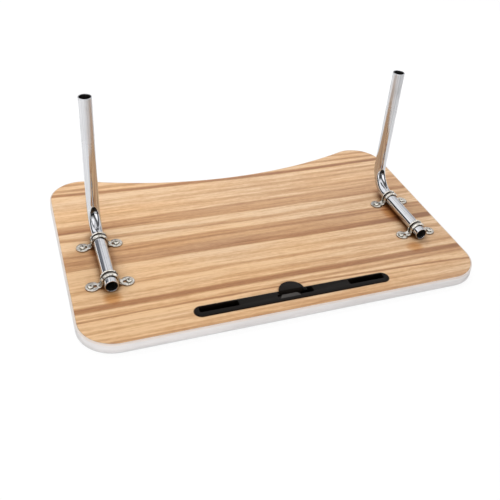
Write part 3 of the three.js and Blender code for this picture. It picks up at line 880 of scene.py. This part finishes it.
def strap_height(u, v):
    """How far the strap's outer side stands off its inner side: two rounded ridges along the arch,
    fading out over the foot."""
    fade = 1 - smoothstep(QUARTER + UPRIGHT, EAR_START, abs(u))
    ridges = [math.cos(math.pi * min(abs(v - middle) / half, 1.0)) / 2 + 0.5 for middle, half in RIDGES]
    return STRAP_THICKNESS + RIDGE_HEIGHT * max(ridges) * fade


def blank_cuts():
    """Planes that cut the blank across where it will bend, and along its ridges."""
    across = [QUARTER * i / ARCH_CUTS for i in range(-ARCH_CUTS, ARCH_CUTS + 1)]
    for sign in (-1, 1):
        across += [sign * (QUARTER + UPRIGHT * i / UPRIGHT_CUTS) for i in range(1, UPRIGHT_CUTS + 1)]
        across += [sign * (QUARTER + UPRIGHT + FOOT * i / FOOT_CUTS) for i in range(1, FOOT_CUTS + 1)]
    planes = [((u, 0, 0), (1, 0, 0)) for u in across]
    edge = round(STRAP_WIDTH / 2 / CUT_STEP)
    return planes + [((0, CUT_STEP * i, 0), (0, 1, 0)) for i in range(1 - edge, edge)]


def saddle_blank():
    """The flat blank with its two slots, cut where it will bend."""
    bm = bmesh.new()
    right = blank_edge()
    outline = right + [(-u, v) for u, v in reversed(right)][1:-1]
    edges = []
    for loop in (outline, *ear_slots()):
        verts = [bm.verts.new((u, v, 0)) for u, v in loop]
        edges += [bm.edges.new((verts[i], verts[i - 1])) for i in range(len(verts))]
    bmesh.ops.triangle_fill(bm, edges=edges, use_beauty=True)
    for spot, normal in blank_cuts():
        whole = bm.verts[:] + bm.edges[:] + bm.faces[:]
        bmesh.ops.bisect_plane(bm, geom=whole, plane_co=spot, plane_no=normal, dist=1e-5)
    return bm


def make_saddle_mesh():
    """The blank's two sides are bent into place apart, then joined along its edges."""
    blank = saddle_blank()
    bm = bmesh.new()
    inner, outer = {}, {}
    for vert in blank.verts:
        u, v, _ = vert.co
        inner[vert] = bm.verts.new(on_path(u, v, 0.0))
        outer[vert] = bm.verts.new(on_path(u, v, strap_height(u, v)))
    for face in blank.faces:
        bm.faces.new([inner[vert] for vert in face.verts])
        outside = bm.faces.new([outer[vert] for vert in reversed(face.verts)])
        u, v, _ = face.calc_center_median()
        on_arch = abs(u) < QUARTER + UPRIGHT + FOOT / 3
        # The groove on the arch takes the finish painted dark as shade.
        outside.material_index = int(GROOVE[0] < v < GROOVE[1] and on_arch)
    for edge in blank.edges:
        if edge.is_boundary:
            a, b = edge.verts
            bm.faces.new((inner[a], inner[b], outer[b], outer[a]))
    blank.free()
    bmesh.ops.recalc_face_normals(bm, faces=bm.faces)
    saddle = new_object("saddle_pattern", bm, [saddle_steel, groove_shade_steel])
    round_edges(saddle, width=0.32, segments=3, angle=50)
    apply_modifiers(saddle)
    shade_smooth(saddle, 40)
    return take_mesh(saddle)


saddle_mesh = make_saddle_mesh()
for side, sign in SIDES.items():
    for row, row_y in SADDLE_Y.items():
        saddle = place_copy(f"pipe_saddle_{row}_{side}", saddle_mesh, (sign * TUBE_X, row_y, TUBE_Z))
        stand_for(saddle, "tray", f"saddle_{row}_{side}")


# Screw shape


def screw_profile():
    """Radii and heights between the shank's tip and the head's crown."""
    profile = [*SCREW_POINT, (SHANK_RADIUS, 0.0), (HEAD_RADIUS - HEAD_CHAMFER, 0.0)]
    profile += [(HEAD_RADIUS, HEAD_CHAMFER), (HEAD_RADIUS, HEAD_RIM)]
    for i in range(1, DOME_STEPS + 1):
        a = DOME_SWEEP * i / DOME_STEPS
        height = HEAD_RIM + (HEAD_HEIGHT - HEAD_RIM) * math.sin(a)
        profile.append((HEAD_RADIUS * math.cos(a) ** DOME_POWER, height))
    return profile


def make_cross_cutter():
    """Two crossed wedges that narrow downwards."""
    bm = bmesh.new()
    for turn in (0, 90):
        across = Matrix.Rotation(math.radians(turn), 3, "Z")
        levels = []
        for half, wide, z in RECESS:
            corners = ((-half, -wide), (half, -wide), (half, wide), (-half, wide))
            levels.append([bm.verts.new(across @ Vector((u, v, z))) for u, v in corners])
        low, high = levels
        bridge(bm, levels)
        bm.faces.new(low[::-1])
        bm.faces.new(high)
    bmesh.ops.recalc_face_normals(bm, faces=bm.faces)
    return new_object("cross_cutter", bm, [screw_steel])


def make_screw_mesh():
    """A pan head with a cross recess, on a plain pointed shank."""
    bm = bmesh.new()
    turns = [2 * math.pi * i / SCREW_STEPS for i in range(SCREW_STEPS)]
    rings = []
    for radius, z in screw_profile():
        rings.append([bm.verts.new((radius * math.cos(a), radius * math.sin(a), z)) for a in turns])
    bridge(bm, rings)
    tip, crown = bm.verts.new((0, 0, -SHANK_LENGTH)), bm.verts.new((0, 0, HEAD_HEIGHT))
    for i in range(SCREW_STEPS):
        j = (i + 1) % SCREW_STEPS
        bm.faces.new((rings[0][j], rings[0][i], tip))
        bm.faces.new((rings[-1][i], rings[-1][j], crown))
    bmesh.ops.recalc_face_normals(bm, faces=bm.faces)
    screw = new_object("screw_pattern", bm, [screw_steel])
    cutter = make_cross_cutter()
    add_modifier(screw, "BOOLEAN", operation="DIFFERENCE", object=cutter, solver="EXACT", use_self=True)
    round_edges(screw, width=0.12, segments=2, angle=40)
    bpy.context.view_layer.update()
    apply_modifiers(screw)
    bpy.data.objects.remove(cutter)
    shade_smooth(screw, 35)
    return take_mesh(screw)


screw_mesh = make_screw_mesh()
turns = iter(SCREW_TURNS)
for side, sign in SIDES.items():
    for row, row_y in SADDLE_Y.items():
        for edge, out in (("outer", sign), ("inner", -sign)):
            spot = (sign * TUBE_X + out * SCREW_REACH[row], row_y, BOARD_TOP + STRAP_THICKNESS)
            screw = place_copy(f"woodscrew_{row}_{side}_{edge}", screw_mesh, spot, next(turns))
            stand_for(screw, "tray", f"screw_{row}_{side}_{edge}")


# Slot insert, flap and rest pad


def soften(name, node, plastic, body, rounding):
    """A copy of a moulded CAD node with its edges rounded."""
    bm = bmesh.new()
    bm.from_mesh(nodes[node].data)
    bmesh.ops.remove_doubles(bm, verts=bm.verts, dist=1e-7)
    bmesh.ops.dissolve_limit(bm, angle_limit=math.radians(1), verts=bm.verts, edges=bm.edges)
    bmesh.ops.scale(bm, vec=(1 / MM, 1 / MM, 1 / MM), verts=bm.verts)
    piece = new_object(name, bm, [plastic])
    round_edges(piece, width=rounding, segments=3, angle=35)
    apply_modifiers(piece)
    shade_smooth(piece, 30)
    stand_for(piece, body, node)


soften("slot_moulding", "slot_insert", black, "tray", 0.3)
soften("flap_moulding", "slot_flap", black, "flap", 0.3)
soften("rest_pad_moulding", "slot_rest_pad", grey_pad, "tray", 0.2)
nodes["flap_pin"].data.materials[0] = screw_steel


# Floor
FLOOR_HALF = 9000.0
FLOOR_Z = -0.1
FLOOR_SHOWN = (0.16, 0.16, 0.16)
FLOOR_SHADOW = (0.08, 0.075, 0.07)
FLOOR_PALE = (0.88, 0.88, 0.88)


def make_floor():
    """The camera sees a nearly white, glowing floor with a painted soft shadow close to the tray.
    Everything else sees it pale and glowing brighter on the left, as a painted pool of light, and
    metal also sees a painted shadow on it close to the tray."""
    bm = bmesh.new()
    corners = ((-1, -1), (1, -1), (1, 1), (-1, 1))
    bm.faces.new([bm.verts.new((x * FLOOR_HALF, y * FLOOR_HALF, FLOOR_Z)) for x, y in corners])
    made, n = material("floor")
    shown = n.glowing(FLOOR_SHOWN, n.smooth(n.open_sky(4.0, samples=16), 0.35, 0.7, 0.50, 0.88))
    away = n.smooth(n.open_sky(30.0), 0.55, 0.95)
    away = n.math("MAXIMUM", away, n.math("SUBTRACT", 1.0, n.ray("Glossy")))
    # Painted light: the floor glows brighter to the left.
    glow = n.smooth(n.place()[0], -700.0, 200.0, 0.36, 0.14)
    color = n.mix(away, FLOOR_SHADOW, FLOOR_PALE)
    unseen = n.glowing(color, n.math("MULTIPLY", away, glow))
    n.finish(n.mix_shaders(n.ray("Camera"), unseen, shown))
    floor = new_object("floor", bm, [made])


# Light
# The soft light on the object, and the colours of the room that metal sees. The back wall lies in
# the directions whose part to the back, times WALL_SLOPE, is over their part to the right plus
# WALL_OFFSET.
SOFT_LIGHT = (0.43, 0.43, 0.43)
LEFT_CEILING = (1.34, 1.36, 1.40)
RIGHT_CEILING = (1.06, 1.06, 1.07)
BACK_WALL = (0.24, 0.25, 0.28)
RIGHT_WALL = (0.52, 0.52, 0.55)
FAR_LEFT = (0.03, 0.03, 0.03)
LOW_FRONT = (0.06, 0.06, 0.065)
FRONT_WINDOW = (1.7, 1.7, 1.72)
RIGHT_WINDOW = (1.6, 1.6, 1.62)
WALL_SLOPE = 4.04
WALL_OFFSET = 3.41
# Each softbox has its place, what it is aimed at and its size, and its power in watts.
SOFTBOXES = {
    "back_softbox": ((0, 1100, 1500), (0, 0, 0), (1000, 600), 14),
    "left_softbox": ((-1100, 500, 900), (-150, 0, 0), (800, 800), 4),
    "right_softbox": ((1100, 500, 900), (150, 0, 0), (800, 800), 4),
    "front_softbox": ((-600, -2000, 500), (0, 0, 0), (1600, 800), 14),
}


def seen_by_metal(n):
    """A bright ceiling over a darker back wall and right wall, black at the far left and low in
    front, with windows high in front, at the front left and on the right."""
    coordinate = n.add("ShaderNodeTexCoord").outputs["Generated"]
    right, back, up = n.add("ShaderNodeSeparateXYZ", (coordinate,)).outputs
    off_wall = n.math("MULTIPLY_ADD", back, -WALL_SLOPE, n.math("ADD", right, WALL_OFFSET))
    ceiling = n.mix(n.smooth(right, -0.60, 0.05), LEFT_CEILING, RIGHT_CEILING)
    seen = n.mix(n.smooth(off_wall, -0.16, 0.14), BACK_WALL, ceiling)
    areas = (
        (RIGHT_WALL, n.smooth(right, 0.50, 0.68)),
        (FAR_LEFT, n.fall(right, -0.66, -0.58), n.fall(up, 0.26, 0.46)),
        (LOW_FRONT, n.fall(up, 0.42, 0.60), n.fall(back, -0.5, -0.15)),
        (FRONT_WINDOW, n.smooth(up, 0.55, 0.66), n.fall(back, -0.5, -0.2)),
        (FRONT_WINDOW, n.fall(right, -0.20, 0.10), n.fall(back, -0.4, -0.2), n.smooth(up, 0.02, 0.14)),
        (RIGHT_WINDOW, n.smooth(right, 0.60, 0.75), n.fall(back, 0.3, 0.5), n.smooth(up, 0.10, 0.25)),
    )
    for color, *edges in areas:
        seen = n.mix(n.product(*edges), seen, color)
    return seen


def make_world():
    """White to the camera, plain soft light on the object, and a room for metal to reflect."""
    world = bpy.data.worlds.new("studio")
    bpy.context.scene.world = world
    world.use_nodes = True
    n = Nodes(world.node_tree)
    lit = n.mix(n.ray("Glossy"), SOFT_LIGHT, seen_by_metal(n))
    color = n.mix(n.ray("Camera"), lit, WHITE)
    background = n.add("ShaderNodeBackground", (color, 1.0)).outputs[0]
    n.add("ShaderNodeOutputWorld", (background,))


def add_softbox(name, place, target, size, power):
    light = bpy.data.lights.new(name, "AREA")
    light.shape = "RECTANGLE"
    light.size, light.size_y = (length * MM for length in size)
    light.energy = power
    lamp = link_object(name, light)
    lamp.location = Vector(place) * MM
    lamp.rotation_euler = (Vector(target) - Vector(place)).to_track_quat("-Z", "Y").to_euler()
    lamp.visible_glossy = False


# Camera
# It is fitted to the board's outline and the tubes in the photograph. Its focal length and the
# shift of its centre are in pixels of an image IMAGE_WIDTH pixels wide.
IMAGE_WIDTH = 500
FOCAL_LENGTH = 695.83
CENTRE_SHIFT = (-26.32, -39.23)
CAMERA_AZIMUTH = -24.30
CAMERA_ELEVATION = 34.33
CAMERA_ROLL = 6.09
CAMERA_AIM = (54.88, 54.55, 0.0)
CAMERA_DISTANCE = 1170.66


def make_camera():
    azimuth, elevation = math.radians(CAMERA_AZIMUTH), math.radians(CAMERA_ELEVATION)
    roll = math.radians(CAMERA_ROLL)
    out = math.cos(elevation)
    back = Vector((math.sin(azimuth) * out, -math.cos(azimuth) * out, math.sin(elevation)))
    level = Vector((math.cos(azimuth), math.sin(azimuth), 0))
    upright = back.cross(level)
    right = level * math.cos(roll) + upright * math.sin(roll)
    up = upright * math.cos(roll) - level * math.sin(roll)
    data = bpy.data.cameras.new("camera")
    data.lens = data.sensor_width * FOCAL_LENGTH / IMAGE_WIDTH
    data.shift_x, data.shift_y = (shift / IMAGE_WIDTH for shift in CENTRE_SHIFT)
    data.clip_start, data.clip_end = 0.01, 100.0
    camera = link_object("camera", data)
    spot = Vector(CAMERA_AIM) * MM + back * (CAMERA_DISTANCE * MM)
    camera.matrix_world = Matrix.Translation(spot) @ Matrix((right, up, back)).transposed().to_4x4()
    bpy.context.scene.camera = camera


make_floor()
make_world()
for softbox_name, softbox in SOFTBOXES.items():
    add_softbox(softbox_name, *softbox)
make_camera()
bpy.context.scene.view_settings.view_transform = "Standard"

bpy.context.view_layer.update()
